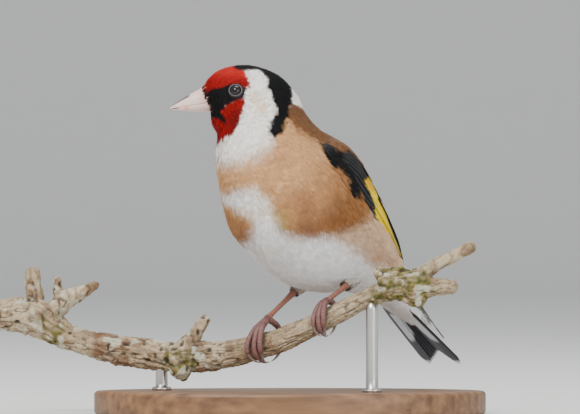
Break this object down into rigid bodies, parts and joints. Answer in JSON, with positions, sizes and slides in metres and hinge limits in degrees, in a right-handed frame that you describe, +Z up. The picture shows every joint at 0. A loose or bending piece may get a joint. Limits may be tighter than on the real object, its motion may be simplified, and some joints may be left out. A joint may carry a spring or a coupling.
{
  "type": "songbird model on perch",
  "caption": "Life-size European goldfinch, head turned in profile, gripping a short cut length of branch held over an oval base by short rods.",
  "frame": {"origin": "centre of the stand base's underside, on the surface that it rests on", "axes": "+Z up; +X to the picture's right, along the branch; +Y away from the viewer of the picture"},
  "size_m": [0.147, 0.0837, 0.1032],
  "materials": {
    "head_feathers": "soft matte feathers, red face, black crown, white cheeks",
    "body_feathers": "soft matte feathers, brown and buff to white",
    "flight_feathers": "smooth satin feathers, black with yellow and white marks",
    "bill": "semi-gloss pale horn",
    "eye": "glossy dark brown",
    "leg_skin": "dry scaled skin, pinkish brown",
    "claw": "semi-gloss horn",
    "bark": "rough weathered bark with lichen",
    "base_wood": "satin dark wood",
    "rod_metal": "brushed metal"
  },
  "bodies": {
    "root": {"bill_lower": "bill", "bill_upper": "bill", "claw_left_1": "claw", "claw_left_2": "claw", "claw_left_3": "claw", "claw_left_4": "claw", "claw_right_1": "claw", "claw_right_2": "claw", "claw_right_3": "claw", "claw_right_4": "claw", "eye_left": "eye", "eye_right": "eye", "foot_left": "leg_skin", "foot_right": "leg_skin", "head": "head_feathers", "neck": "body_feathers", "perch_branch": "bark", "stand_base": "base_wood", "stand_rod_1": "rod_metal", "stand_rod_2": "rod_metal", "tail": "flight_feathers", "tarsus_left": "leg_skin", "tarsus_right": "leg_skin", "thigh_left": "body_feathers", "thigh_right": "body_feathers", "torso": "body_feathers", "wing_left": "flight_feathers", "wing_right": "flight_feathers"}
  },
  "joints": []
}
